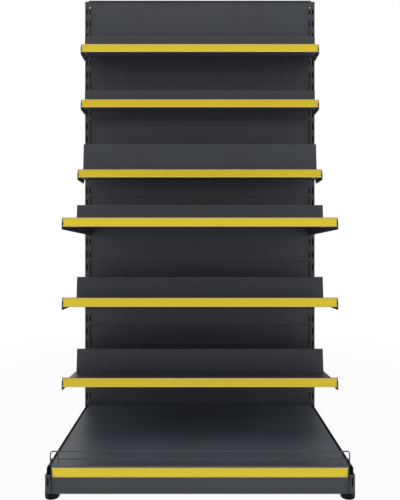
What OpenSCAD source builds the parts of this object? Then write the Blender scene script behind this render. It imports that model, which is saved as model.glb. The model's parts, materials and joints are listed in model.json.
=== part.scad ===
// Wall shelving unit of folded sheet steel: two slotted uprights, hooked brackets with
// six stepped shelves, back panels, and a base deck on levelling feet. Millimetres,
// front towards -Y, floor at z = 0, origin under the middle of the whole unit.

/* [Frame] */
// Distance between the centre lines of the uprights
pitch = 868.8; // [600:0.2:1200]
// Width of an upright's section
upright_w = 27; // [24:0.5:34]
// Depth of an upright's section
upright_depth = 60; // [55:1:90]
// Wall of an upright
upright_wall = 2; // [1.5:0.1:3]
// Top of the plastic caps on the uprights, below the top of the panels
cap_drop = 3; // [3:0.5:6]
// Diameter of the screw that holds each cap
cap_screw_d = 4; // [3:0.5:4.5]
// Height of those screws below the top of the panels
cap_screw_drop = 27; // [26:0.5:29]

/* [Slots] */
// Height of the lowest slots' centres
first_slot = 75; // [70:1:80]
// Distance between slots
slot_pitch = 50; // [48:1:52]
// Height of a slot
slot_h = 26; // [25:0.5:30]
// Height of the shorter slot at the top of each column
top_slot_h = 20; // [16:0.5:20]
// Width of a slot
slot_w = 5; // [4.4:0.1:6]
// Slot columns either side of an upright's centre line
slot_offset = 6; // [5:0.5:7]

/* [Back] */
// Height of one back panel
panel_h = 400; // [396:1:404]
// Lower edge of the lowest panel
panel_bottom = 65; // [55:1:75]
// Panels' faces behind the uprights' front faces
panel_recess = 1; // [0.5:0.5:4]
// Depth of a panel's folded edges
panel_edge = 17; // [15:0.5:20]
// Gap between panels
panel_gap = 0.6; // [0.4:0.1:2]
// Height of a rear tie's section
tie_h = 40; // [36:1:60]
// Depth of a rear tie's section
tie_depth = 25; // [20:1:30]
// Thickness of the ties
tie_t = 1.5; // [1:0.1:2]
// Distance of the outer ties' centres from the ends of the panels
tie_end = 75; // [60:5:100]
// Face of the top rail above the panels
rail_rise = 1.4; // [1:0.1:3]
// Front of the top rail ahead of the uprights
rail_front = 1.5; // [1:0.5:4]
// Rear of the top rail behind the uprights' front faces
rail_back = 30; // [24:1:50]
// Height of the top rail's rear skirt
rail_skirt = 20; // [12:1:30]
// Height of the top rail's lip in front
rail_lip = 5; // [4:0.5:8]
// Top rail's ends beyond the panels
rail_over = 12; // [6:0.5:16]

/* [Shelf heights] */
// Height of the panels' top that the shelf heights are given for; the shelves keep their place below it
shelf_heights_top = 1665; // [1600:5:1720]
// Top of shelf 1
shelf_1_h = 1550; // [1540:5:1560]
// Top of shelf 2
shelf_2_h = 1350; // [1340:5:1360]
// Top of shelf 3
shelf_3_h = 1200; // [1190:5:1210]
// Top of shelf 4
shelf_4_h = 900; // [890:5:910]
// Top of shelf 5
shelf_5_h = 650; // [640:5:660]
// Top of shelf 6
shelf_6_h = 400; // [390:5:410]

/* [Shelf sheet] */
// Thickness of a shelf's sheet
sheet_t = 1; // [0.8:0.1:1.2]
// Rise of the floors towards the front, in degrees
shelf_tilt = 3.7; // [2:0.1:5]
// Inside of a plain fold
fold_r = 2.2; // [2:0.1:3]
// Thickness of a folded-over edge
hem_w = 3.6; // [3.2:0.1:4.5]
// Fold that closes the front skirt from below
return_w = 14; // [10:0.5:16]
// Front of the rear upstand, ahead of the uprights
upstand_d = 4; // [3:0.5:6]
// Thickness of the folded edge on top of the upstand
upstand_hem = 2.4; // [2.4:0.1:2.8]
// Height of that folded edge
upstand_hem_h = 8; // [6:1:12]

/* [Shallow shelves 1 and 2] */
// Reach ahead of the uprights
shallow_reach = 150; // [145:1:170]
// Top of the front lip below the shelf's top
shallow_lip_drop = 106; // [104:1:110]
// Height of the lip above the front floor
shallow_lip_h = 23.5; // [18:0.5:26]
// Foot of the riser ahead of the uprights
shallow_foot = 100; // [96:1:104]
// Riser's lean back from its foot to its top
shallow_lean = 5; // [3:0.5:8]
// Top of the riser below the shelf's top
shallow_riser_drop = 58.5; // [56:0.5:62]
// Rear floor below the shelf's top
shallow_rear_drop = 84; // [82:0.5:88]

/* [Deep-fronted shelf 3] */
// Reach ahead of the uprights
stepped_reach = 200; // [195:1:220]
// Top of the front lip below the shelf's top
stepped_lip_drop = 214.6; // [212:0.2:218]
// Height of the lip above the front floor
stepped_lip_h = 23; // [18:0.5:26]
// Foot of the riser ahead of the uprights
stepped_foot = 129; // [126:1:134]
// Riser's lean back from its foot to its top
stepped_lean = 13; // [8:0.5:16]
// Top of the riser below the shelf's top
stepped_riser_drop = 112.5; // [110:0.5:116]
// Rear floor below the shelf's top
stepped_rear_drop = 139; // [136:0.5:142]

/* [Deep shelves 4, 5 and 6] */
// Reach ahead of the uprights
deep_reach = 405; // [400:1:430]
// Top of the front lip below the shelf's top
deep_lip_drop = 88; // [86:0.5:92]
// Height of the lip above the front floor
deep_lip_h = 18; // [15:0.5:20]
// Foot of the riser ahead of the uprights
deep_foot = 228; // [220:1:236]
// Riser's lean back from its foot to its top
deep_lean = 10; // [6:0.5:14]
// Top of the riser below the shelf's top
deep_riser_drop = 41; // [38:0.5:46]
// Rear floor below the shelf's top
deep_rear_drop = 76; // [74:0.5:80]

/* [Shelf brackets] */
// Thickness of a bracket's plate
plate_t = 3; // [2:0.1:3.4]
// Width of the flanges that carry the sheet
ledge_w = 12; // [8:0.5:20]
// Thickness of those flanges
ledge_t = 2.5; // [1.5:0.1:3]
// Bracket's lower edge below the price strip, at the front
nose_below = 9.1; // [6:0.1:12]
// Height of the corner cut off the bracket's nose
nose_cut_h = 15; // [8:0.5:18]
// Depth of that cut
nose_cut_d = 8; // [5:0.5:8]
// Plate's upper edge behind the riser
riser_gap = 16; // [15:0.5:20]
// Start of the slanting lower edge of shelves 1 and 2, ahead of the uprights
shallow_knee = 87; // [80:1:92]
// Start of the slanting lower edge of shelf 3, ahead of the uprights
stepped_knee = 113; // [106:1:118]
// Height of a hook's neck
hook_neck = 13; // [11:0.5:13]
// Drop of a hook's finger behind the slot
hook_drop = 8; // [6:0.5:10]
// Depth of a hook's finger
hook_finger = 4; // [3:0.5:5]

/* [Price strips] */
// Height of a price strip
strip_h = 28.2; // [26:0.1:29]
// Depth of a price strip
strip_t = 3; // [2.5:0.1:4]
// Wall of a price strip
strip_wall = 0.8; // [0.6:0.1:1]
// Height of a price strip's rims
strip_rim = 3.4; // [2.5:0.1:4]
// Fall of a price strip's upper wall towards its back
strip_slope = 1.6; // [1:0.1:2]

/* [Base] */
// Reach of the base brackets ahead of the uprights
base_reach = 542; // [500:1:580]
// Width of a base bracket's channel
base_w = 25.5; // [24:0.5:27]
// Thickness of a base bracket's sheet
base_t = 1.5; // [1.2:0.1:2]
// Lower edge of the base brackets
base_bottom = 22.6; // [22:0.2:26]
// Upper edge of a base bracket's outer wall
side_top = 90.4; // [88:0.2:93]
// Upper face of the deck
deck_level = 96.5; // [95:0.5:100]
// Gap between the deck and a base bracket's outer wall
deck_side_gap = 8.2; // [7.6:0.2:9]
// Gap between the deck and the uprights
deck_rear_gap = 20; // [16:0.5:24]
// Height of the deck's rear flange
deck_flange = 20; // [14:1:24]
// Height of the deck's side flanges
deck_side_flange = 16; // [12:1:18]
// Top of the deck's price strip below the deck
base_strip_drop = 2.7; // [2.6:0.1:6]
// Ends of the deck's price strip short of the plinth's
base_strip_inset = 3; // [1:0.5:6]
// Thickness of the deck's sheet
deck_t = 1.2; // [1:0.1:1.5]
// Front skirt of the deck behind the base brackets' front
deck_setback = 10; // [9:0.5:12]
// Height of the nose of a base bracket
nose_top = 76.5; // [74:0.5:80]
// Length of a base bracket's lowered nose
nose_len = 15; // [13:0.5:18]
// Width of a base bracket's nose
nose_w = 14.5; // [14:0.5:17]
// Lower end of the slot in a nose's front
nose_slot_low = 44; // [40:0.5:48]
// Upper end of that slot
nose_slot_high = 69; // [64:0.5:70]
// Width of that slot
nose_slot_w = 4.4; // [4:0.1:5]
// Distance of that slot from the bracket's outer face
nose_slot_side = 5.6; // [5:0.1:6]
// Diameter of the two holes in the deck
deck_hole_d = 5; // [4:0.5:8]
// Distance of those holes ahead of the uprights
deck_hole_reach = 265; // [240:1:290]
// Distance of those holes from the middle
deck_hole_half = 412; // [400:1:420]
// Lower edge of the plinth
plinth_bottom = 17.7; // [16:0.2:20]
// Thickness of the plinth's sheet
plinth_t = 1; // [0.8:0.1:1.2]
// Lower edge of the plinth's clips
clip_low = 34; // [30:1:38]
// Height of the plinth's clips
clip_h = 16; // [12:1:18]

/* [Wire guard] */
// Diameter of the wire
wire_d = 3.5; // [3:0.1:4]
// Centre line of the upper wire
guard_top = 136; // [130:1:160]
// Centre line of the lower wire
guard_low = 114; // [108:1:122]
// Guard's wires behind the base brackets' front
guard_setback = 17; // [16.5:0.5:19]
// Guard's outer wires inside the base brackets' outer faces
guard_inset = 10.6; // [10:0.2:12]
// Radius of the guard's corners
guard_r = 7; // [5:0.5:9]
// Distance between the outer wires and the legs beside them
guard_leg_gap = 22.2; // [18:0.2:30]
// Length of the legs below the deck
guard_leg = 18; // [10:0.5:20]

/* [Levelling feet] */
// Diameter of a front foot's pad
foot_d = 43; // [36:1:44]
// Diameter of a rear foot's pad, under an upright
rear_foot_d = 28; // [24:1:34]
// Share of the pad's diameter that meets the floor
foot_sole = 0.94; // [0.6:0.02:0.96]
// Height of a foot's pad
foot_h = 17; // [14:0.5:19]
// Diameter of a foot's threaded stem
stem_d = 10; // [8:0.5:12]
// Top of the stem above the floor
stem_top = 60; // [50:1:64]
// Front feet behind the base brackets' front
foot_setback = 30; // [29:1:40]
// Height of a foot's nut
nut_h = 8; // [6:0.5:10]

/* [Hidden] */
// Clearance of pieces that rest or hang on each other
seat = 0.1;
// Clearance of a turning stem or a bolt in its hole
bore_fit = 0.05;
// Clearance at the ends of sheets between their side plates
end_gap = 0.5;
// Room between an upright's wall and the hook fingers behind it
hook_gap = 0.4;
// Room between a bracket's plate and the outer side of its slots
slot_gap = 0.2;
panel_count = 4;
panels_top = panel_bottom + panel_count * panel_h;
cap_t = 2;
cap_plug = 28;
cap_wall = 1.6;
upright_top = panels_top - cap_drop - cap_t;
rail_top = panels_top + rail_rise;
inner_half = pitch / 2 - upright_w / 2;
panel_half = inner_half - end_gap;
column_x = pitch / 2 - slot_offset;
plate_inner = column_x + slot_w / 2 - slot_gap - plate_t;
tray_half = plate_inner - end_gap;
slots_room = panels_top - cap_screw_drop - first_slot;
slot_count = floor((slots_room - slot_h / 2 + 2 * plate_t + cap_screw_d) / slot_pitch) + 1;
base_outer = column_x + base_w / 2;
base_inner = base_outer - base_w;
deck_half = base_outer - base_t - deck_side_gap;
deck_face = base_reach - deck_setback;
deck_under = deck_level - deck_t - seat;
// Gap between the plinth and the noses beside it
nose_gap = 0.3;
nose_inner = base_outer - nose_w;
plinth_half = nose_inner - nose_gap;
plinth_face = deck_face + strip_t;
base_strip_top = deck_level - base_strip_drop;
base_strip_low = base_strip_top - strip_h;
stem_x = column_x;
foot_reach = base_reach - foot_setback;
nut_w = 17;
guard_x = base_outer - guard_inset;
guard_d = base_reach - guard_setback;
side_slot_d = panel_recess + panel_edge - 0.75;
tie_bolt_d = 6;
tie_bolt_gap = 20;
tie_d = -(upright_depth - 1);
tie_bolt_reach = tie_d + tie_depth / 2;
tie_levels = [panels_top - tie_end, (panels_top + panel_bottom) / 2, panel_bottom + tie_end];
base_bolt_z = 41;
base_bolt_d = 8;
// A little more than a cut needs, so that it goes right through
over = 1;
face_y = (base_reach - upright_depth) / 2;

// Reach, lip drop, lip height, riser foot, lean, riser drop, rear drop, hooks and knee
shallow = [shallow_reach, shallow_lip_drop, shallow_lip_h, shallow_foot, shallow_lean,
           shallow_riser_drop, shallow_rear_drop, 2, shallow_knee];
stepped = [stepped_reach, stepped_lip_drop, stepped_lip_h, stepped_foot, stepped_lean,
           stepped_riser_drop, stepped_rear_drop, 3, stepped_knee];
deep = [deep_reach, deep_lip_drop, deep_lip_h, deep_foot, deep_lean,
        deep_riser_drop, deep_rear_drop, 3, 0];
kinds = [shallow, shallow, stepped, deep, deep, deep];
heights = [shelf_1_h, shelf_2_h, shelf_3_h, shelf_4_h, shelf_5_h, shelf_6_h];

function unit(v) = v / norm(v);
function left(v) = [-v[1], v[0]];
function flat(p) = [p[0], p[1]];
function turned(v, a) = [v[0] * cos(a) - v[1] * sin(a), v[0] * sin(a) + v[1] * cos(a)];
function reversed(list) = [for (i = [len(list) - 1:-1:0]) list[i]];

// Arc that rounds corner b between a and c, held to a little under half of its shorter side
function bend(a, b, c, r) =
    let (u = unit(a - b), w = unit(c - b), half = acos(u * w) / 2)
    r == 0 || half > 89 ? [b] :
    let (reach = min(r / tan(half), 0.46 * norm(a - b), 0.46 * norm(c - b)),
         centre = b + unit(u + w) * reach / cos(half),
         start = b + u * reach - centre,
         way = cross(u, w) > 0 ? -1 : 1,
         steps = ceil((180 - 2 * half) / 18))
    [for (i = [0:steps]) centre + turned(start, way * (180 - 2 * half) * i / steps)];

// Path of points [forward, up, fold radius] with its corners rounded
function folded(path) =
    let (last = len(path) - 1)
    [for (i = [0:last])
        each i == 0 || i == last ? [flat(path[i])]
            : bend(flat(path[i - 1]), flat(path[i]), flat(path[i + 1]), path[i][2])];

// Path moved to its left by off
function beside(path, off) =
    let (last = len(path) - 1)
    [for (i = [0:last])
        let (a = left(unit(path[max(i, 1)] - path[max(i, 1) - 1])),
             b = left(unit(path[min(i + 1, last)] - path[min(i + 1, last) - 1])),
             m = unit(a + b))
        path[i] + m * off / (m * a)];

// Folded sheet with its visible face on the path and its thickness to the right of it
module sheet(path, t, gap = 0) {
    line = folded(path);
    polygon(concat(beside(line, -gap), reversed(beside(line, -gap - t))));
}

// Side outline of forward and up, extruded to the right from x0 to x1
module across(x0, x1)
    translate([x0, 0, 0]) rotate([90, 0, 90]) linear_extrude(x1 - x0) children();

// Plan outline of right and forward, extruded from z0 up to z1
module rising(z0, z1)
    translate([0, 0, z0]) linear_extrude(z1 - z0) children();

// Box between two corners of right, forward and up
module block(a, b)
    translate([min(a[0], b[0]), min(a[1], b[1]), min(a[2], b[2])])
        cube([abs(a[0] - b[0]), abs(a[1] - b[1]), abs(a[2] - b[2])]);

// Frame whose second axis points forward from the uprights' front faces
module forward() translate([0, face_y, 0]) mirror([0, 1, 0]) children();

module on_side(side) mirror([side == "left" ? 1 : 0, 0, 0]) children();

module steel() color([0.27, 0.28, 0.29]) forward() children();

// Height of slot number i of a column
function slot_z(i) = first_slot + slot_pitch * i;
function is_top_slot(i) = i == slot_count - 1;
// Slot that lies nearest to height z
function nearest_slot(z) = slot_z(round((z - first_slot) / slot_pitch));
// Top of shelf n, halfway above the slot of its highest hooks
function shelf_top(n) =
    nearest_slot(heights[n - 1] + panels_top - shelf_heights_top - slot_pitch / 2) + slot_pitch / 2;
// Heights of the slots that hold one panel
function panel_slots(n) =
    let (low = panels_top - n * panel_h)
    [nearest_slot(low + panel_h / 5), nearest_slot(low + panel_h * 4 / 5)];

module slot_cut(x, z, h) block([x - slot_w / 2, over, z - slot_h / 2],
                               [x + slot_w / 2, -upright_wall - over, z - slot_h / 2 + h]);

module upright(side) steel() on_side(side) difference() {
    outer = pitch / 2 + upright_w / 2;
    block([inner_half, -upright_depth, base_bottom], [outer, 0, upright_top]);
    block([inner_half + upright_wall, -upright_depth + upright_wall, base_bottom + plate_t],
          [outer - upright_wall, -upright_wall, upright_top + over]);
    for (i = [0:slot_count - 1], x = [column_x, pitch / 2 + slot_offset])
        slot_cut(x, slot_z(i), is_top_slot(i) ? top_slot_h : slot_h);
    for (n = [1:panel_count], z = panel_slots(n))
        block([inner_half - over, -side_slot_d - slot_w / 2, z - slot_h / 2],
              [inner_half + upright_wall + over, -side_slot_d + slot_w / 2, z + slot_h / 2]);
    translate([column_x, over, panels_top - cap_screw_drop]) rotate([90, 0, 0])
        cylinder(d = cap_screw_d + 2 * bore_fit, h = upright_wall + 2 * over, $fn = 32);
    translate([pitch / 2, -upright_depth / 2, base_bottom - over])
        cylinder(d = stem_d + 2 * bore_fit, h = plate_t + 2 * over, $fn = 48);
    for (z = tie_levels, s = [-1, 1])
        translate([inner_half - over, tie_bolt_reach, z + s * tie_bolt_gap / 2])
            rotate([0, 90, 0])
                cylinder(d = tie_bolt_d + 2 * bore_fit, h = upright_wall + 2 * over, $fn = 32);
    translate([column_x, over, base_bolt_z])
        rotate([90, 0, 0])
            cylinder(d = base_bolt_d + 2 * bore_fit, h = upright_wall + 2 * over, $fn = 32);
}

module upright_cap(side) color([0.1, 0.1, 0.1]) forward() on_side(side) {
    outer = pitch / 2 + upright_w / 2;
    wall = upright_wall + seat;
    block([inner_half, -upright_depth, upright_top], [outer, 0, upright_top + cap_t]);
    inset = wall + cap_wall;
    difference() {
        block([inner_half + wall, -upright_depth + wall, upright_top - cap_plug],
              [outer - wall, -wall, upright_top]);
        block([inner_half + inset, -upright_depth + inset, upright_top - cap_plug - over],
              [outer - inset, -inset, upright_top]);
        translate([column_x, 0, panels_top - cap_screw_drop]) rotate([90, 0, 0])
            cylinder(d = cap_screw_d + 2 * bore_fit, h = inset + over, $fn = 32);
    }
}

// Hook that reaches sideways through an upright's inner wall and down behind it
module panel_hook(z) {
    low = z - slot_h / 2 + seat;
    high = low + hook_neck - 1;
    inside = inner_half + upright_wall + hook_gap;
    tip = inside + 3;
    translate([0, -side_slot_d + sheet_t / 2, 0]) rotate([90, 0, 0]) linear_extrude(sheet_t)
        polygon([[panel_half - sheet_t, low], [inside, low], [inside, low - hook_drop],
                 [tip - 1, low - hook_drop], [tip, low - hook_drop + 2],
                 [tip, high - 3], [tip - 2, high], [panel_half - sheet_t, high]]);
}

module back_panel(n) steel() {
    low = panels_top - n * panel_h + panel_gap / 2;
    high = low + panel_h - panel_gap;
    back = -side_slot_d - sheet_t / 2;
    difference() {
        block([-panel_half, back, low], [panel_half, -panel_recess, high]);
        block([-panel_half + sheet_t, back - over, low + sheet_t],
              [panel_half - sheet_t, -panel_recess - sheet_t, high - sheet_t]);
    }
    for (side = ["left", "right"], z = panel_slots(n)) on_side(side) panel_hook(z);
}

module top_rail() steel() {
    back = -rail_back;
    half = panel_half + rail_over;
    top_and_lip = [[back, rail_top, 0], [rail_front, rail_top, 1.2],
                   [rail_front, rail_top - rail_lip, 0]];
    across(-half, half) sheet(top_and_lip, sheet_t);
    across(-panel_half, panel_half)
        sheet(concat([[back, rail_top - rail_skirt, 0], [back, rail_top, fold_r]],
                     [for (i = [1:2]) top_and_lip[i]]), sheet_t);
    for (side = ["left", "right"]) on_side(side)
        block([half - sheet_t, back, upright_top + cap_t + seat], [half, 0, rail_top - sheet_t / 2]);
}

// Channel between the uprights, with an end plate bolted to each
module rear_tie(z) steel() {
    low = z - tie_h / 2;
    high = z + tie_h / 2;
    half = inner_half - seat;
    across(-half, half)
        sheet([[tie_d + tie_depth, high, 0], [tie_d, high, fold_r], [tie_d, low, fold_r],
               [tie_d + tie_depth, low, 0]], -tie_t);
    for (side = ["left", "right"]) on_side(side) difference() {
        block([half - tie_t, tie_d + tie_t / 2, low + tie_t / 2],
              [half, tie_d + tie_depth, high - tie_t / 2]);
        for (s = [-1, 1])
            translate([half - tie_t - over, tie_bolt_reach, z + s * tie_bolt_gap / 2])
                rotate([0, 90, 0])
                    cylinder(d = tie_bolt_d + 2 * bore_fit, h = tie_t + 2 * over, $fn = 32);
    }
}

// Bolt along its own axis, with its head's seat at 0
module bolt(d, length, head_d, head_h) {
    cylinder(d = d, h = length, $fn = 32);
    translate([0, 0, -head_h]) difference() {
        cylinder(d = head_d, h = head_h, $fn = 32);
        translate([0, 0, -over]) cylinder(d = head_d / 2, h = over + head_h / 2, $fn = 6);
    }
}

module tie_bolts() color("silver") forward()
    for (side = ["left", "right"], z = tie_levels, s = [-1, 1])
        on_side(side)
            translate([inner_half - seat - tie_t, tie_bolt_reach, z + s * tie_bolt_gap / 2])
                rotate([0, 90, 0]) bolt(tie_bolt_d, 10, 11, 3.5);

// Domed screws in the uprights' front faces
module cap_screws() color("silver") forward() for (side = ["left", "right"]) on_side(side)
    translate([column_x, seat, panels_top - cap_screw_drop]) rotate([90, 0, 0]) {
        cylinder(d = cap_screw_d, h = 9, $fn = 32);
        rotate([0, 180, 0]) rotate_extrude($fn = 32)
            polygon(concat([[0, 0], [3.1, 0]], [for (a = [15:15:75]) [3.1 * cos(a), 1.5 * sin(a)]],
                           [[0, 1.5]]));
    }

// Heights of a shelf's features from its own top
function front_inside(s) = s[0] - strip_t - hem_w;
function floor_front(s) = -s[1] - s[2];
function front_floor(s, d) = floor_front(s) - (front_inside(s) - d) * tan(shelf_tilt);
function rear_floor(s, d) = -s[6] + (d - upstand_d) * tan(shelf_tilt);
function riser_top_d(s) = s[3] - s[4];
function riser_slope(s) = s[4] / (-s[5] - front_floor(s, s[3]));
function strip_top(s) = -s[1] - 0.4;
function skirt_low(s) = strip_top(s) - strip_h - 1.5;
function nose_low(s) = strip_top(s) - strip_h - nose_below;
function bracket_low(s, d) = nose_low(s) - (s[0] - d) * tan(shelf_tilt);
// Foot of the riser's rear skin, where it meets the rear floor
function riser_back(s) =
    let (d = riser_top_d(s) - hem_w)
    d + riser_slope(s) * (-s[5] - rear_floor(s, d));

function rear_line(s) = [[upstand_d, rear_floor(s, upstand_d), fold_r],
                         [riser_back(s), rear_floor(s, riser_back(s)), fold_r]];
function front_line(s) = [[s[3], front_floor(s, s[3]), fold_r],
                          [front_inside(s), floor_front(s), fold_r]];
// The whole fold of a shelf from its rear upstand to the underside of its front
function tray_line(s) = concat(
    [[upstand_d - upstand_hem, -upstand_hem_h, 0], [upstand_d - upstand_hem, 0, upstand_hem / 2],
     [upstand_d, 0, upstand_hem / 2]],
    rear_line(s),
    [[riser_top_d(s) - hem_w, -s[5], hem_w / 2], [riser_top_d(s), -s[5], hem_w / 2]],
    front_line(s),
    [[front_inside(s), -s[1], hem_w / 2], [s[0] - strip_t, -s[1], hem_w / 2],
     [s[0] - strip_t, skirt_low(s), fold_r], [s[0] - strip_t - return_w, skirt_low(s), 0]]);

module shelf_tray(n) {
    s = kinds[n - 1];
    corner = 8;
    steel() translate([0, 0, shelf_top(n)]) difference() {
        across(-tray_half, tray_half) sheet(tray_line(s), sheet_t);
        for (side = ["left", "right"]) on_side(side)
            translate([0, upstand_d + over, 0]) rotate([90, 0, 0]) linear_extrude(sheet_t + 2 * over)
                polygon([[tray_half - corner, over], [tray_half - corner, 0],
                         [tray_half, -corner], [tray_half + over, -corner], [tray_half + over, over]]);
    }
}

// Hook of a bracket's plate, through a slot centred at height z and down behind the wall
module plate_hook(z) {
    low = z - slot_h / 2 + seat;
    inside = -upright_wall - hook_gap;
    polygon([[upstand_d, low], [inside, low], [inside, low - hook_drop],
             [inside - hook_finger + 1.5, low - hook_drop], [inside - hook_finger, low - hook_drop + 3],
             [inside - hook_finger, low + hook_neck - 4], [inside - 1, low + hook_neck],
             [upstand_d, low + hook_neck]]);
}

// Points of a bracket's edge that carries the floors, at distances rear and front
function rear_edge(s, d) = [d, rear_floor(s, d) - sheet_t - seat];
function front_edge(s, d) = [d, front_floor(s, d) - sheet_t - seat];

module bracket_outline(s) {
    nose_top = s[0] - nose_cut_d;
    hooks_low = -s[7] * slot_pitch;
    polygon(concat(
        [[seat, hooks_low], [seat, 0], [upstand_d + 6, 0], rear_edge(s, upstand_d + 9),
         rear_edge(s, riser_back(s) - riser_gap), front_edge(s, s[3] - riser_gap),
         front_edge(s, nose_top - 4), [nose_top - 2, -s[1]], [nose_top, -s[1]],
         [s[0], -s[1] - nose_cut_h], [s[0], nose_low(s)]],
        s[8] > 0 ? [[s[8], bracket_low(s, s[8])]] : []));
}

module shelf_bracket(n, side) {
    s = kinds[n - 1];
    under = sheet_t + seat;
    rear = rear_line(s);
    front = front_line(s);
    steel() on_side(side) translate([0, 0, shelf_top(n)]) {
        across(plate_inner, plate_inner + plate_t) union() {
            bracket_outline(s);
            for (i = [0:s[7] - 1]) plate_hook(-slot_pitch * (i + 0.5));
        }
        across(plate_inner - ledge_w, plate_inner + over) {
            sheet([[rear[0][0] + ledge_w, rear_floor(s, rear[0][0] + ledge_w), 0],
                   [rear[1][0] - riser_gap, rear_floor(s, rear[1][0] - riser_gap), 0]],
                  ledge_t, under);
            sheet([[front[0][0] + ledge_w / 2, front_floor(s, front[0][0] + ledge_w / 2), 0],
                   [s[0] - strip_t - return_w - 2, front_floor(s, s[0] - strip_t - return_w - 2), 0]],
                  ledge_t, under);
        }
    }
}

// Price strip on a front face at distance face, its top at height top
module price_strip(half, face, top) color([0.86, 0.75, 0.21]) forward() across(-half, half) {
    front = face + strip_t;
    low = top - strip_h;
    sheet([[front, low + strip_rim, 0], [front, low, 1.2], [face, low, 1.2],
           [face, top - strip_slope, 1.2], [front, top, 1.2], [front, top - strip_rim, 0]],
          strip_wall);
}

module shelf_strip(n) {
    s = kinds[n - 1];
    price_strip(tray_half, s[0] - strip_t, shelf_top(n) + strip_top(s));
}

module base_bracket(side) steel() on_side(side) {
    step = base_reach - nose_len;
    inner_front = deck_face - 7;
    inner_low = base_strip_low - 8;
    // Length of the level and of the rise where the inner wall passes under the skirt
    pass_run = 12;
    // Relief in the inner wall for the deck's rear flange
    relief_d = deck_rear_gap + fold_r + 2;
    relief_z = deck_level - deck_flange - 1;
    // Outer wall
    across(base_outer - base_t, base_outer)
        polygon([[seat, base_bottom], [base_reach, base_bottom], [base_reach, nose_top],
                 [step, nose_top], [step, side_top], [seat, side_top]]);
    // Inner wall, lowered at the front to pass under the deck's skirt
    across(base_inner, base_inner + base_t)
        polygon([[seat, base_bottom], [inner_front, base_bottom], [inner_front, inner_low],
                 [inner_front - pass_run, inner_low], [inner_front - 2 * pass_run, deck_under],
                 [relief_d, deck_under], [relief_d, relief_z], [seat, relief_z]]);
    // Floor of the channel with the front foot's hole
    difference() {
        rising(base_bottom, base_bottom + base_t)
            polygon([[base_inner, seat], [base_outer, seat], [base_outer, base_reach],
                     [nose_inner, base_reach], [nose_inner, inner_front], [base_inner, inner_front]]);
        translate([stem_x, foot_reach, base_bottom - over])
            cylinder(d = stem_d + 2 * bore_fit, h = base_t + 2 * over, $fn = 48);
    }
    // Rear plate with its hook and its bolt hole
    difference() {
        block([base_inner, seat, base_bottom], [base_outer, seat + base_t, side_top]);
        translate([column_x, -over, base_bolt_z]) rotate([-90, 0, 0])
            cylinder(d = base_bolt_d + 2 * bore_fit, h = base_t + 2 * over, $fn = 32);
    }
    across(plate_inner, plate_inner + plate_t) plate_hook(first_slot);
    // Nose with the slot and the folding groove in its front
    slot_x = base_outer - nose_slot_side;
    groove_z = base_bottom + 4.6;
    difference() {
        block([nose_inner, base_reach - base_t, base_bottom], [base_outer, base_reach, nose_top]);
        block([slot_x - nose_slot_w, base_reach - base_t - over, nose_slot_low],
              [slot_x, base_reach + over, nose_slot_high]);
        block([nose_inner - over, base_reach - 0.5, groove_z],
              [base_outer + over, base_reach + over, groove_z + 0.8]);
    }
    block([nose_inner, inner_front, base_bottom], [nose_inner + base_t, base_reach, inner_low]);
}

module base_bolts() color("silver") forward() for (side = ["left", "right"]) on_side(side)
    translate([column_x, seat + base_t, base_bolt_z])
        rotate([90, 0, 0]) bolt(base_bolt_d, 14, 15, 5);

module base_deck() steel() difference() {
    notch = wire_d + 1;
    skirt_low_z = base_strip_low + 2;
    below = deck_level - 2 * deck_t;
    union() {
        across(-deck_half, deck_half)
            sheet([[deck_rear_gap, deck_level - deck_flange, 0], [deck_rear_gap, deck_level, fold_r],
                   [deck_face, deck_level, fold_r], [deck_face, skirt_low_z, fold_r],
                   [deck_face - 8, skirt_low_z, 0]], deck_t);
        for (side = ["left", "right"]) on_side(side)
            block([deck_half - deck_t, deck_rear_gap + deck_t / 2, deck_level - deck_side_flange],
                  [deck_half, guard_d - notch, deck_level - deck_t / 2]);
    }
    for (side = ["left", "right"]) on_side(side) {
        translate([deck_hole_half, deck_hole_reach, below])
            cylinder(d = deck_hole_d, h = 4 * deck_t, $fn = 32);
        translate([guard_x, guard_d, below]) cylinder(d = notch, h = 4 * deck_t, $fn = 32);
        block([guard_x, guard_d - notch / 2, below],
              [deck_half + over, guard_d + notch / 2, deck_level + over]);
        translate([guard_x - guard_leg_gap, guard_d, below])
            cylinder(d = notch, h = 4 * deck_t, $fn = 32);
    }
    translate([0, guard_d, below]) cylinder(d = notch, h = 4 * deck_t, $fn = 32);
}

module base_plinth() steel() {
    top = base_strip_low - seat - 0.8;
    clip_x = base_inner - seat;
    clip_t = 1.5;
    across(-plinth_half, plinth_half)
        sheet([[plinth_face - 12, top, 0], [plinth_face, top, fold_r],
               [plinth_face, plinth_bottom, fold_r], [plinth_face - 5, plinth_bottom, 0]], plinth_t);
    for (side = ["left", "right"]) on_side(side)
        block([clip_x - clip_t, foot_reach - 6, clip_low],
              [clip_x, plinth_face - plinth_t / 2, clip_low + clip_h]);
}

module wire(length) cylinder(d = wire_d, h = length, $fn = 24);

module wire_guard() color([0.35, 0.36, 0.38]) forward() {
    leg = guard_x - guard_leg_gap;
    low = deck_level - guard_leg;
    translate([0, guard_d, 0]) {
        for (rail = [[guard_x - guard_r, guard_top], [guard_x, guard_low]])
            translate([-rail[0], 0, rail[1]]) rotate([0, 90, 0]) wire(2 * rail[0]);
        for (side = ["left", "right"]) on_side(side) {
            translate([guard_x, 0, low]) wire(guard_top - guard_r - low);
            translate([leg, 0, low]) wire(guard_top - low);
            translate([guard_x - guard_r, 0, guard_top - guard_r]) rotate([90, 0, 0])
                rotate_extrude(angle = 90, $fn = 48) translate([guard_r, 0]) circle(d = wire_d, $fn = 24);
        }
        translate([0, 0, low]) wire(guard_low - low);
    }
}

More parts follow.
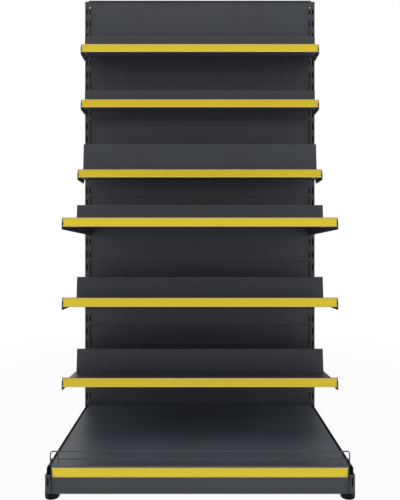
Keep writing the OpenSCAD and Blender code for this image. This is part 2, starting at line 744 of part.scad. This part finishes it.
// Levelling foot: domed pad, hexagon for the spanner and threaded stem
module levelling_foot(x, d, pad_d) color([0.08, 0.08, 0.08]) forward() translate([x, d, 0]) {
    rim = pad_d / 2;
    sole = rim * foot_sole;
    rotate_extrude($fn = 64)
        polygon(concat([[0, 0], [sole, 0]],
                       [for (i = [0:6]) [sole + (rim - sole) * sin(15 * i),
                                         foot_h * 0.7 * (1 - cos(15 * i))]],
                       [[rim, foot_h - 2], [rim - 2, foot_h], [0, foot_h]]));
    cylinder(d = stem_d, h = stem_top, $fn = 48);
    cylinder(d = nut_w, h = foot_h + 4, $fn = 6);
}

module foot_nuts() color("silver") forward()
    for (x = [-1, 1], spot = [[stem_x, foot_reach, base_t], [pitch / 2, -upright_depth / 2, plate_t]])
        translate([x * spot[0], spot[1], base_bottom + spot[2]]) difference() {
            rotate([0, 0, 30]) cylinder(d = nut_w / cos(30), h = nut_h, $fn = 6);
            translate([0, 0, -over])
                cylinder(d = stem_d + 2 * bore_fit, h = nut_h + 2 * over, $fn = 48);
        }

upright("left");  // upright_left
upright("right");  // upright_right
upright_cap("left");  // upright_cap_left
upright_cap("right");  // upright_cap_right
for (n = [1:panel_count]) back_panel(n);
cap_screws();
top_rail();
rear_tie(tie_levels[0]);  // rear_tie_top
rear_tie(tie_levels[1]);  // rear_tie_middle
rear_tie(tie_levels[2]);  // rear_tie_bottom
tie_bolts();
for (n = [1:6]) shelf_tray(n);
for (n = [1:6], side = ["left", "right"])
    shelf_bracket(n, side);
for (n = [1:6]) shelf_strip(n);
base_bracket("left");  // base_bracket_left
base_bracket("right");  // base_bracket_right
base_bolts();
base_deck();
base_plinth();
price_strip(plinth_half - base_strip_inset, deck_face, base_strip_top);  // price_strip_base
wire_guard();
levelling_foot(-stem_x, foot_reach, foot_d);  // foot_front_left
levelling_foot(stem_x, foot_reach, foot_d);  // foot_front_right
levelling_foot(-pitch / 2, -upright_depth / 2, rear_foot_d);  // foot_rear_left
levelling_foot(pitch / 2, -upright_depth / 2, rear_foot_d);  // foot_rear_right
foot_nuts();
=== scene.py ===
import json
import math

import bpy
from mathutils import Matrix, Vector


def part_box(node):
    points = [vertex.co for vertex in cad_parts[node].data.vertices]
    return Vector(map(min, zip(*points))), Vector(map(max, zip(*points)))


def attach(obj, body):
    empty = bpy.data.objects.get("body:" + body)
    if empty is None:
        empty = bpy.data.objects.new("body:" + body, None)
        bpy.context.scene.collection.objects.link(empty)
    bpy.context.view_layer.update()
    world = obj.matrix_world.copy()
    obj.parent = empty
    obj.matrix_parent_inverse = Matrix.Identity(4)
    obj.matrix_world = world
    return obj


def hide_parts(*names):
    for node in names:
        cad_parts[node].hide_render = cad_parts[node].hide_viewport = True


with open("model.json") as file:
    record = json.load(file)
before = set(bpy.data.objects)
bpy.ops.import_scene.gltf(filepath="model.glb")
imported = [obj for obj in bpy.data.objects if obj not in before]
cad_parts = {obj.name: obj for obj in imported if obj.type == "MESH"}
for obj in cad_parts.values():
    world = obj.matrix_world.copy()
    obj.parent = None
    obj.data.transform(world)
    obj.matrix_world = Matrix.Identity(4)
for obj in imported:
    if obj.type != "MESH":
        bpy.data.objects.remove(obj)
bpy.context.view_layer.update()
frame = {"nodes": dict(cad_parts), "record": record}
nodes = frame["nodes"]


# A socket that Python's operators work on: each one adds a Math node
class Value:
    def __init__(self, tree, socket):
        self.tree = tree
        self.socket = socket

    def math(self, operation, *others):
        return self.tree.node("ShaderNodeMath", {"operation": operation}, dict(enumerate((self,) + others)))

    def __add__(self, other):
        return self.math("ADD", other)

    def __sub__(self, other):
        return self.math("SUBTRACT", other)

    def __mul__(self, other):
        return self.math("MULTIPLY", other)

    def __truediv__(self, other):
        return self.math("DIVIDE", other)

    def __rsub__(self, other):
        return self.tree.node("ShaderNodeMath", {"operation": "SUBTRACT"}, {0: other, 1: self})

    def __lt__(self, other):
        return self.math("LESS_THAN", other)

    def __gt__(self, other):
        return self.math("GREATER_THAN", other)

    def __abs__(self):
        return self.math("ABSOLUTE")

    __radd__ = __add__


# A node tree that is filled through one method
class Tree:
    def __init__(self, nodeTree):
        self.nodeTree = nodeTree

    def node(self, kind, settings=None, inputs=None, output=0):
        made = self.nodeTree.nodes.new(kind)
        for name, value in (settings or {}).items():
            setattr(made, name, value)
        for key, value in (inputs or {}).items():
            if isinstance(value, list):       # several pieces into one socket
                for each in value:
                    self.nodeTree.links.new(each.socket, made.inputs[key])
            elif isinstance(value, Value):
                self.nodeTree.links.new(value.socket, made.inputs[key])
            else:
                made.inputs[key].default_value = value
        return Value(self, made.outputs[output]) if len(made.outputs) else None


def linear(red, green, blue):     # sRGB, 0 to 255, as the shader wants it
    def channel(c):
        c /= 255
        return c / 12.92 if c <= 0.04045 else ((c + 0.055) / 1.055) ** 2.4
    return (channel(red), channel(green), channel(blue), 1)


def newMaterial(name):
    material = bpy.data.materials.new(name)
    material.use_nodes = True
    material.node_tree.nodes.clear()
    return material, Tree(material.node_tree)


def finishMaterial(material, tree, shader):
    tree.node("ShaderNodeOutputMaterial", None, {"Surface": shader})
    return material


def place(tree):                  # Object coordinates, in metres
    return tree.node("ShaderNodeTexCoord", None, None, "Object")


def along(tree, where, axis):     # one of the three coordinates
    return tree.node("ShaderNodeSeparateXYZ", None, {0: where}, axis)


def stretched(tree, where, scale):
    return tree.node("ShaderNodeMapping", None, {"Vector": where, "Scale": scale})


def clamped(tree, value):         # held between 0 and 1
    return tree.node("ShaderNodeClamp", None, {"Value": value})


def noise(tree, where, size, detail=3.0, roughness=0.5):
    return tree.node("ShaderNodeTexNoise", None,
                     {"Vector": where, "Scale": 1 / size, "Detail": detail, "Roughness": roughness})


def mixed(tree, factor, a, b):
    return tree.node("ShaderNodeMix", {"data_type": "RGBA"}, {0: factor, 6: a, 7: b}, 2)


def bumped(tree, height, distance):
    return tree.node("ShaderNodeBump", None, {"Height": height, "Distance": distance})


coat = {
    "colour": linear(56, 59, 64),
    "paler": linear(61, 65, 70),
    "rough": 0.36,
    "ior": 1.345,
    "gloss": 0.5,
    "peelSize": 0.0018,           # the orange peel of a powder coat
    "peelHeight": 0.00005,
    "grainSize": 0.00035,
    "grainHeight": 0.25,          # as a share of the peel's height
    "grainRough": 0.06,
    "smearSize": 0.11,            # handling marks that pale the colour and dull the gloss
    "smearFrom": 0.35,
    "smearGain": 1.6,
    "smearRough": 0.14,
    "scuffSize": 0.003,           # fine scuffs from goods that slide in and out
    "scuffStretch": (1, 0.06, 1),
    "scuffFrom": 0.58,
    "scuffGain": 7,
    "scuffRough": 0.5,
    "scuff": 0.05,
    "scuffed": linear(112, 115, 120),
}


deckLook = {                      # painted light: paler than the coat, standing in for the stronger light that falls on the deck from above; also rougher and more scuffed by what stands on it
    "colour": linear(72, 78, 85),
    "paler": linear(83, 88, 96),
    "scuff": 0.16,
    "rough": 0.42,
    "ior": 1.42,
    "edgeShade": linear(18, 18, 20),   # painted shade: a dark band along the deck's side edges, standing in for the shade in the gap beside them
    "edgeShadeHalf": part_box("base_deck")[1].x,
    "edgeShadeWidth": 0.004,
    "edgeShadeDull": 0.45,             # how much gloss the painted shade loses, so that it shows no reflection
}


baseLook = {                      # painted light: forward of litFrom the faces are painted paler than the coat, standing in for the stronger light on the front near the floor; behind it they keep the coat's colour
    "colour": linear(67, 71, 76),
    "paler": linear(74, 78, 83),
    "litFrom": -0.27,         # from here forward
    "litEdge": 200,           # how sharply it begins
}


wireLook = {"colour": linear(70, 73, 77), "peelSize": 0.0009}


def powderCoat(name, look=coat):
    material, tree = newMaterial(name)
    where = place(tree)
    peel = noise(tree, where, look["peelSize"], detail=2.0, roughness=0.4)
    grain = noise(tree, where, look["grainSize"], detail=1.0)
    smear = noise(tree, where, look["smearSize"], detail=4.0, roughness=0.6)
    streaks = noise(tree, stretched(tree, where, look["scuffStretch"]), look["scuffSize"], roughness=0.65)
    scuffs = clamped(tree, (streaks - look["scuffFrom"]) * look["scuffGain"]) * look["scuff"]
    wearAndShade = (smear - look["smearFrom"]) * look["smearGain"]
    colour = mixed(tree, wearAndShade, look["colour"], look["paler"])
    # painted light: forward of litFrom the paler base colour, behind it the coat's own colour
    if "litFrom" in look:
        front = clamped(tree, (look["litFrom"] - along(tree, where, "Y")) * look["litEdge"])
        colour = mixed(tree, front, mixed(tree, wearAndShade, coat["colour"], coat["paler"]), colour)
    colour = mixed(tree, scuffs, colour, look["scuffed"])
    rough = (look["rough"] + (smear - 0.5) * look["smearRough"] + (grain - 0.5) * look["grainRough"]
             + scuffs * look["scuffRough"])
    gloss = look["gloss"]
    # painted shade: the band along the deck's side edges is darkened and loses its gloss
    if "edgeShade" in look:
        edgeShade = abs(along(tree, where, "X")) > look["edgeShadeHalf"] - look["edgeShadeWidth"]
        colour = mixed(tree, edgeShade, colour, look["edgeShade"])
        gloss = gloss - edgeShade * look["edgeShadeDull"]
    shader = tree.node("ShaderNodeBsdfPrincipled", None, {
        "Base Color": colour, "Roughness": rough, "IOR": look["ior"], "Specular IOR Level": gloss,
        "Normal": bumped(tree, peel + grain * look["grainHeight"], look["peelHeight"])})
    return finishMaterial(material, tree, shader)


strip = {
    "rim": linear(238, 217, 118),
    "body": linear(230, 208, 100),
    "rough": 0.34,
    "ior": 1.42,
    "drawSize": 0.0009,           # fine lines left by the extruder, along the strip
    "drawStretch": (0.02, 1, 1),
    "drawHeight": 0.00002,
    "cloudSize": 0.06,            # slow changes of colour and gloss
    "cloudRough": 0.1,
}


def stripPlastic(name, look=strip):
    material, tree = newMaterial(name)
    where = place(tree)
    lines = noise(tree, stretched(tree, where, look["drawStretch"]), look["drawSize"], detail=2.0)
    cloud = noise(tree, where, look["cloudSize"])
    colour = mixed(tree, cloud, look["rim"], look["body"])
    if "wearAndShade" in look:            # a card, which says itself how much light is painted into its colour
        fresh = tree.node("ShaderNodeAttribute", {"attribute_name": "fresh"}, None, "Fac")
        colour = mixed(tree, fresh, look["wearAndShade"], colour)
    shader = tree.node("ShaderNodeBsdfPrincipled", None, {
        "Base Color": colour, "Roughness": look["rough"] + (cloud - 0.5) * look["cloudRough"],
        "IOR": look["ior"], "Normal": bumped(tree, lines, look["drawHeight"])})
    return finishMaterial(material, tree, shader)


moulding = {
    "colour": linear(24, 24, 25),
    "scuffed": linear(40, 40, 40),
    "rough": 0.5,
    "ior": 1.4,
    "gloss": 0.5,
    "sparkSize": 0.0006,          # the fine eroded grain of the mould
    "sparkHeight": 0.00004,
    "scuffSize": 0.012,
    "scuffGain": 1.2,
    "scuffRough": 0.3,
}


footLook = {"colour": linear(6, 6, 7), "scuffed": linear(14, 14, 14), "rough": 0.34, "gloss": 0.16}


def mouldedPlastic(name, look=moulding):
    material, tree = newMaterial(name)
    where = place(tree)
    spark = noise(tree, where, look["sparkSize"], detail=2.0)
    scuff = noise(tree, where, look["scuffSize"], detail=4.0, roughness=0.7)
    colour = mixed(tree, (scuff - 0.5) * look["scuffGain"], look["colour"], look["scuffed"])
    shader = tree.node("ShaderNodeBsdfPrincipled", None, {
        "Base Color": colour, "Roughness": look["rough"] + (scuff - 0.5) * look["scuffRough"],
        "IOR": look["ior"], "Specular IOR Level": look["gloss"],
        "Normal": bumped(tree, spark, look["sparkHeight"])})
    return finishMaterial(material, tree, shader)


zinc = {
    "colour": linear(176, 178, 180),
    "duller": linear(150, 152, 150),
    "rough": 0.32,
    "spangleSize": 0.004,
    "spangleRough": 0.2,
    "fineSize": 0.0004,
    "fineHeight": 0.00001,
}


def zincPlate(name, look=zinc):
    material, tree = newMaterial(name)
    where = place(tree)
    spangle = noise(tree, where, look["spangleSize"])
    fine = noise(tree, where, look["fineSize"], detail=1.0)
    colour = mixed(tree, spangle, look["colour"], look["duller"])
    shader = tree.node("ShaderNodeBsdfPrincipled", None, {
        "Base Color": colour, "Metallic": 1.0,
        "Roughness": look["rough"] + (spangle - 0.5) * look["spangleRough"],
        "Normal": bumped(tree, fine, look["fineHeight"])})
    return finishMaterial(material, tree, shader)


def paint(names, material):
    for name in names:
        mesh = nodes[name].data
        mesh.materials.clear()
        mesh.materials.append(material)


def slotNodes(slot):
    return [part["node"] for part in frame["record"]["subparts"] if part["material_slot"] == slot]


paint(slotNodes("powder_coat"), powderCoat("powderCoat"))
# painted light: the deck takes a paler coat than the rest
paint(["base_deck"], powderCoat("deckCoat", dict(coat, **deckLook)))
paint(["base_plinth", "base_bracket_left", "base_bracket_right"],
      powderCoat("baseCoat", dict(coat, **baseLook)))
paint(slotNodes("wire"), powderCoat("wireCoat", dict(coat, **wireLook)))
paint(slotNodes("yellow_plastic"), stripPlastic("stripPlastic"))
paint(slotNodes("black_plastic"), mouldedPlastic("capPlastic"))
paint(slotNodes("foot_plastic"), mouldedPlastic("footPlastic", dict(moulding, **footLook)))
paint(slotNodes("zinc"), zincPlate("zincPlate"))
print("finishes:", len(bpy.data.materials), "materials")


# Starts a group of Geometry Nodes whose inputs have names and values; a whole number makes an Integer input
def geometryTree(name, asked):
    group = bpy.data.node_groups.new(name, "GeometryNodeTree")
    for label, value in asked.items():
        kind = "NodeSocketInt" if isinstance(value, int) else "NodeSocketFloat"
        group.interface.new_socket(label, in_out="INPUT", socket_type=kind).default_value = value
    group.interface.new_socket("Mesh", in_out="OUTPUT", socket_type="NodeSocketGeometry")
    tree = Tree(group)
    return group, tree, {label: tree.node("NodeGroupInput", None, None, label) for label in asked}


def endGeometry(tree, geometry, material):
    whole = tree.node("GeometryNodeRealizeInstances", None, {"Geometry": geometry})
    tree.node("NodeGroupOutput", None, {
        "Mesh": tree.node("GeometryNodeSetMaterial", None, {"Geometry": whole, "Material": material})})


def at(tree, x=0.0, y=0.0, z=0.0):
    return tree.node("ShaderNodeCombineXYZ", None, {"X": x, "Y": y, "Z": z})


def joined(tree, pieces):
    return tree.node("GeometryNodeJoinGeometry", None, {"Geometry": pieces})


def smoothed(tree, geometry):
    return tree.node("GeometryNodeSetShadeSmooth", None, {"Geometry": geometry})


def drawnBetween(tree, least, most, seed):
    return tree.node("FunctionNodeRandomValue", {"data_type": "FLOAT"}, {2: least, 3: most, "Seed": seed}, 1)


def grow(name, group, values):
    grown = bpy.data.objects.new(name, bpy.data.meshes.new(name))
    bpy.context.scene.collection.objects.link(grown)
    modifier = grown.modifiers.new("grow", "NODES")
    modifier.node_group = group
    for item in group.interface.items_tree:
        if item.in_out == "INPUT" and item.name in values:
            modifier[item.identifier] = values[item.name]
    evaluated = grown.evaluated_get(bpy.context.evaluated_depsgraph_get())
    mesh = bpy.data.meshes.new_from_object(evaluated)
    grown.modifiers.remove(modifier)
    grown.data = mesh
    return grown


guard = {
    "cornerRadius": 0.007,
    "cornerSteps": 10,
    "railHeight": 0.114,          # the lower rail
    "legGap": 0.0222,             # from an end wire to the leg beside it
    "wireSides": 16,
    "nugget": 1.12,               # a weld's size, in wire radii
    "nuggetSteps": 3,
    "nuggetLeast": 0.97,          # no two welds are quite the same size
    "nuggetMost": 1.06,
}


# The guard: one wire bent round, a lower rail, two legs and a middle leg, with a weld at each crossing
def guardGroup(material, look):
    group, tree, ask = geometryTree("guardWires", {
        "Half": 0.43, "Top": 0.136, "Rail": 0.114, "Foot": 0.08, "Leg": 0.408, "Corner": 0.007,
        "Wire": 0.00175, "Nugget": 1.12, "Seed": 3})
    index = tree.node("GeometryNodeInputIndex")      # 0 to 3: left foot, left top, right top, right foot
    ends = tree.node("GeometryNodeResampleCurve", None, {
        "Curve": tree.node("GeometryNodeCurvePrimitiveLine"), "Count": 4})
    across = ((index > 1.5) * 2 - 1) * ask["Half"]
    up = ask["Foot"] + (index > 0.5) * (index < 2.5) * (ask["Top"] - ask["Foot"])
    bent = tree.node("GeometryNodeSetPosition", None, {
        "Geometry": ends, "Position": at(tree, across, 0.0, up)})
    hoop = tree.node("GeometryNodeFilletCurve", {"mode": "POLY"}, {
        "Curve": bent, "Radius": ask["Corner"], "Count": look["cornerSteps"]})

    def wire(x0, z0, x1, z1):
        return tree.node("GeometryNodeCurvePrimitiveLine", None, {
            "Start": at(tree, x0, 0.0, z0), "End": at(tree, x1, 0.0, z1)})

    def welds(x, z, count, step):
        return tree.node("GeometryNodeMeshLine", None, {
            "Count": count, "Start Location": at(tree, x, 0.0, z), "Offset": at(tree, step)})

    wires = [hoop, wire(0 - ask["Half"], ask["Rail"], ask["Half"], ask["Rail"]),
             wire(0 - ask["Leg"], ask["Foot"], 0 - ask["Leg"], ask["Top"]),
             wire(ask["Leg"], ask["Foot"], ask["Leg"], ask["Top"]),
             wire(0.0, ask["Foot"], 0.0, ask["Rail"])]
    section = tree.node("GeometryNodeCurvePrimitiveCircle", None, {
        "Resolution": look["wireSides"], "Radius": ask["Wire"]})
    swept = tree.node("GeometryNodeCurveToMesh", None, {
        "Curve": joined(tree, wires), "Profile Curve": section, "Fill Caps": True})
    spots = joined(tree, [welds(0 - ask["Half"], ask["Rail"], 3, ask["Half"]),
                          welds(0 - ask["Leg"], ask["Rail"], 2, ask["Leg"] * 2),
                          welds(0 - ask["Leg"], ask["Top"], 2, ask["Leg"] * 2)])
    bead = tree.node("GeometryNodeMeshIcoSphere", None, {
        "Radius": ask["Wire"] * ask["Nugget"], "Subdivisions": look["nuggetSteps"]})
    beads = tree.node("GeometryNodeInstanceOnPoints", None, {
        "Points": spots, "Instance": bead,
        "Scale": drawnBetween(tree, look["nuggetLeast"], look["nuggetMost"], ask["Seed"])})
    endGeometry(tree, smoothed(tree, joined(tree, [swept, beads])), material)
    return group


def addGuard(look):
    low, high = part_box("wire_guard")
    radius = (high.y - low.y) / 2
    half = high.x - radius
    piece = grow("guardWires", guardGroup(nodes["wire_guard"].data.materials[0], look), {
        "Half": half, "Top": high.z - radius, "Foot": low.z, "Rail": look["railHeight"],
        "Leg": half - look["legGap"], "Corner": look["cornerRadius"], "Wire": radius,
        "Nugget": look["nugget"]})
    piece.data.transform(Matrix.Translation((0, (low.y + high.y) / 2, 0)))
    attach(piece, "guard")
    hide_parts("wire_guard")


addGuard(guard)
print("guard: bent wires with welds")


card = {
    "short": 0.004,               # how much each end stays back from the strip's end
    "wall": 0.0008,               # the strip's wall
    "play": 0.00015,
    "thickness": 0.0004,
    "bow": 0.0003,                # how far the middle stands forward
    "wave": 0.00025,
    "waveLength": 0.16,
    "slope": 0.0012,              # the strip's upper wall falls this much over the card
    "columns": 97,                # points along the card, and up it
    "rows": 9,
    "weld": 0.00001,              # points nearer than this are one
    "fresh": (0.25, 0.0, 0.25, 0.65, 0.5, 0.4, 1.0),      # painted light: how much of its full colour each card gets, from the top, standing in for how much light reaches each strip
    # painted shade: wearAndShade is the darker card colour, taken where a card's fresh is low
    "finish": {"rim": linear(255, 229, 64), "body": linear(255, 225, 50), "wearAndShade": linear(226, 196, 42),
               "rough": 0.45, "ior": 1.3},
}


# A card in a strip: a thin sheet that bows forward and waves a little along its length
def cardGroup(material, look):
    group, tree, ask = geometryTree("priceCard", {
        "Length": 0.84, "Height": 0.025, "Thickness": 0.0004, "Bow": 0.0003, "Wave": 0.0002,
        "Start": 0.0, "Fresh": 1.0})
    flat = tree.node("GeometryNodeMeshGrid", None, {
        "Size X": ask["Length"], "Size Y": ask["Height"],
        "Vertices X": look["columns"], "Vertices Y": look["rows"]})
    spot = tree.node("GeometryNodeInputPosition")
    x, y = (along(tree, spot, axis) for axis in ("X", "Y"))
    level = y * 2 / ask["Height"]
    waved = noise(tree, at(tree, x, ask["Start"]), look["waveLength"], detail=1.0) - 0.5
    forward = ask["Bow"] * (1 - level * level) + waved * ask["Wave"]
    stood = tree.node("GeometryNodeSetPosition", None, {
        "Geometry": flat, "Position": at(tree, x, 0 - forward, y)})
    front = tree.node("GeometryNodeExtrudeMesh", {"mode": "FACES"}, {
        "Mesh": stood, "Offset": at(tree, 0.0, -1.0, 0.0), "Offset Scale": ask["Thickness"],
        "Individual": False})
    back = tree.node("GeometryNodeFlipFaces", None, {"Mesh": stood})
    closed = tree.node("GeometryNodeMergeByDistance", None, {
        "Geometry": joined(tree, [front, back]), "Distance": look["weld"]})
    withLitShare = tree.node("GeometryNodeStoreNamedAttribute", {"data_type": "FLOAT", "domain": "POINT"}, {
        "Geometry": closed, "Name": "fresh", "Value": ask["Fresh"]})
    endGeometry(tree, withLitShare, material)
    return group


def addCards(look):
    group = cardGroup(stripPlastic("cardYellow", dict(strip, **look["finish"])), look)
    inside = look["wall"] + look["play"]
    strips = [(f"price_strip_{n}", f"shelf_{n}") for n in range(1, 7)] + [("price_strip_base", "deck")]
    for number, (node, body) in enumerate(strips):
        low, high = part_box(node)
        piece = grow("priceCard." + body, group, {
            "Length": high.x - low.x - 2 * look["short"],
            "Height": high.z - low.z - 2 * inside - look["slope"],
            "Thickness": look["thickness"], "Bow": look["bow"], "Wave": look["wave"],
            "Start": float(number), "Fresh": look["fresh"][number]})
        rear = low.y + inside + look["bow"] + look["wave"] / 2 + look["thickness"]
        middle = (low.z + high.z - look["slope"]) / 2
        piece.data.transform(Matrix.Translation(((low.x + high.x) / 2, rear, middle)))
        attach(piece, body)


addCards(card)
print("cards: one in each strip")


screw = {
    "head": 0.0031,               # the head's radius, and how far it stands out
    "dome": 0.0015,
    "shank": 0.002,               # the shank's radius and length
    "length": 0.009,
    "cross": 0.0038,              # the cross recess: its width, the width of a slit and its depth
    "slit": 0.0008,
    "deep": 0.0009,
    "leastTurn": 0.2,             # the angles, in radians, at which the cross may come to rest
    "mostTurn": 1.4,
    "crisp": 0.6,                 # an edge that bends by more than this many radians stays sharp
    "headSides": 48,
    "headRings": 24,
    "shankSides": 32,
}


# Two screws with domed heads, each with a cross recess that came to rest at its own angle
def screwGroup(material, look):
    group, tree, ask = geometryTree("crossScrews", {
        "Reach": 0.428, "Head": 0.003, "Dome": 0.0015, "Shank": 0.002, "Length": 0.009, "Cross": 0.004,
        "Slit": 0.0008, "Deep": 0.001, "Seed": 5})

    def block(x, y, z, where):
        return tree.node("GeometryNodeTransform", None, {
            "Geometry": tree.node("GeometryNodeMeshCube", None, {"Size": at(tree, x, y, z)}),
            "Translation": at(tree, 0.0, where)})

    ball = tree.node("GeometryNodeMeshUVSphere", None, {
        "Segments": look["headSides"], "Rings": look["headRings"], "Radius": 1.0})
    head = tree.node("GeometryNodeTransform", None, {
        "Geometry": ball, "Scale": at(tree, ask["Head"], ask["Dome"], ask["Head"])})
    top = 0 - ask["Dome"]
    for cut in (block(ask["Cross"], ask["Deep"] * 2, ask["Slit"], top),
                block(ask["Slit"], ask["Deep"] * 2, ask["Cross"], top),
                block(ask["Head"] * 4, ask["Dome"] * 2, ask["Head"] * 4, ask["Dome"])):
        head = tree.node("GeometryNodeMeshBoolean", {"operation": "DIFFERENCE", "solver": "EXACT"},
                         {"Mesh 1": head, "Mesh 2": cut})
    shank = tree.node("GeometryNodeTransform", None, {
        "Geometry": tree.node("GeometryNodeMeshCylinder", None, {
            "Vertices": look["shankSides"], "Radius": ask["Shank"], "Depth": ask["Length"]}),
        "Translation": at(tree, 0.0, ask["Length"] / 2), "Rotation": (math.pi / 2, 0, 0)})
    angle = drawnBetween(tree, look["leastTurn"], look["mostTurn"], ask["Seed"])
    both = tree.node("GeometryNodeInstanceOnPoints", None, {
        "Points": tree.node("GeometryNodeMeshLine", None, {
            "Count": 2, "Start Location": at(tree, 0 - ask["Reach"]),
            "Offset": at(tree, ask["Reach"] * 2)}),
        "Instance": joined(tree, [head, shank]),
        "Rotation": tree.node("FunctionNodeEulerToRotation", None, {0: at(tree, 0.0, angle)})})
    whole = tree.node("GeometryNodeRealizeInstances", None, {"Geometry": both})
    bend = tree.node("GeometryNodeInputMeshEdgeAngle")
    crisp = tree.node("GeometryNodeSetShadeSmooth", {"domain": "EDGE"}, {
        "Geometry": smoothed(tree, whole), "Selection": bend > look["crisp"], "Shade Smooth": False})
    endGeometry(tree, crisp, material)
    return group


def addScrews(look):
    low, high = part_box("cap_screws")
    names = ("head", "dome", "shank", "length", "cross", "slit", "deep")
    values = {name.capitalize(): look[name] for name in names}
    piece = grow("capScrews", screwGroup(nodes["cap_screws"].data.materials[0], look),
                 dict(values, Reach=high.x - look["head"]))
    piece.data.transform(Matrix.Translation((0, low.y + look["dome"], (low.z + high.z) / 2)))
    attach(piece, "frame")
    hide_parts("cap_screws")


addScrews(screw)
print("screws: a cross recess in each cap's screw")


photo = {
    "width": 400,
    "height": 500,
    "middleColumn": 199.35,       # column straight ahead of the camera
    "horizonRow": 227.7,          # row of the camera's own height
    "pixelsPerMetre": 256.2,      # at the uprights' front faces
    "distance": 2.0,              # from those faces to the camera
    "cameraX": -0.002,
    "cameraHeight": 0.78,
    "sensor": 36,
}


def addCamera(view):
    data = bpy.data.cameras.new("photoCamera")
    data.sensor_fit = "VERTICAL"
    data.sensor_height = view["sensor"]
    data.lens = view["sensor"] * view["pixelsPerMetre"] * view["distance"] / view["height"]
    data.shift_x = (view["width"] / 2 - view["middleColumn"]) / view["height"]
    data.shift_y = (view["horizonRow"] - view["height"] / 2) / view["height"]
    camera = bpy.data.objects.new("photoCamera", data)
    bpy.context.scene.collection.objects.link(camera)
    camera.location = (view["cameraX"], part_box("upright_left")[0].y - view["distance"], view["cameraHeight"])
    camera.rotation_euler = (math.radians(90), 0, 0)
    bpy.context.scene.camera = camera


studio = {
    "sky": 0.37,                  # light that the white room gives from all round
    "dim": 0.58,                  # how much darker the room's right rear looks in a reflection
    "dimEdge": 8,                 # how sharply that begins
    "floorSize": 14,
    "floorPale": 0.8,
    "floorShade": 0.06,           # how much of the floor's look near the unit is its own shading
    "fade": 1.2,                  # over this distance, beyond the same distance, the floor turns white
    "softBoxes": (                # name, place, aim, size and watts
        ("keyBox", (0, -1.1, 3.4), (0, -0.2, 0.9), (2.6, 2.0), 29),
        ("sideBox", (-2.4, -0.7, 0.8), (0, 0, 0.6), (2.0, 1.6), 27.5),
        ("sideBox", (2.4, -0.7, 0.8), (0, 0, 0.6), (2.0, 1.6), 27.5),
    ),
}


def addSoftBox(name, where, aim, size, power):
    data = bpy.data.lights.new(name, "AREA")
    data.shape = "RECTANGLE"
    data.size, data.size_y = size
    data.energy = power
    light = bpy.data.objects.new(name, data)
    bpy.context.scene.collection.objects.link(light)
    light.location = where
    light.rotation_euler = (Vector(aim) - Vector(where)).to_track_quat("-Z", "Y").to_euler()


def seenDirectly(tree):           # 1 where the camera, a reflection or a clear piece looks, else 0
    seen = [tree.node("ShaderNodeLightPath", None, None, name)
            for name in ("Is Camera Ray", "Is Glossy Ray", "Is Transmission Ray")]
    return seen[0].math("MAXIMUM", seen[1]).math("MAXIMUM", seen[2])


# White where it is seen, and dimmer as a light and in reflections of its right rear
def addRoom(light):
    world = bpy.data.worlds.new("whiteRoom")
    bpy.context.scene.world = world
    world.use_nodes = True
    world.node_tree.nodes.clear()
    tree = Tree(world.node_tree)
    looking = tree.node("ShaderNodeTexCoord", None, None, "Generated")
    right, rear = (clamped(tree, along(tree, looking, axis) * light["dimEdge"]) for axis in ("X", "Y"))
    mirrored = tree.node("ShaderNodeLightPath", None, None, "Is Glossy Ray")
    strength = light["sky"] + seenDirectly(tree) * (1 - light["sky"]) - mirrored * right * rear * light["dim"]
    backdrop = tree.node("ShaderNodeBackground", None, {"Color": (1, 1, 1, 1), "Strength": strength})
    tree.node("ShaderNodeOutputWorld", None, {"Surface": backdrop})


def addFloor(light):
    bpy.ops.mesh.primitive_plane_add(size=light["floorSize"], location=(0, 0, 0))
    floor = bpy.context.object
    floor.name = "studioFloor"
    material, tree = newMaterial("paleFloor")
    pale = light["floorPale"]
    shaded = tree.node("ShaderNodeBsdfDiffuse", None, {"Color": (pale, pale, pale, 1)})
    white = tree.node("ShaderNodeEmission", None, {"Color": (1, 1, 1, 1), "Strength": 1.0})
    away = tree.node("ShaderNodeVectorMath", {"operation": "LENGTH"}, {0: place(tree)}, "Value")
    near = clamped(tree, 2 - away / light["fade"])
    shader = tree.node("ShaderNodeMixShader", None,
                       {0: seenDirectly(tree) * (1 - near * light["floorShade"]), 1: shaded, 2: white})
    floor.data.materials.append(finishMaterial(material, tree, shader))


addCamera(photo)
addRoom(studio)
addFloor(studio)
for softBox in studio["softBoxes"]:
    addSoftBox(*softBox)
bpy.context.scene.view_settings.view_transform = "Standard"
print("studio: camera, white room, floor and", len(studio["softBoxes"]), "soft boxes")
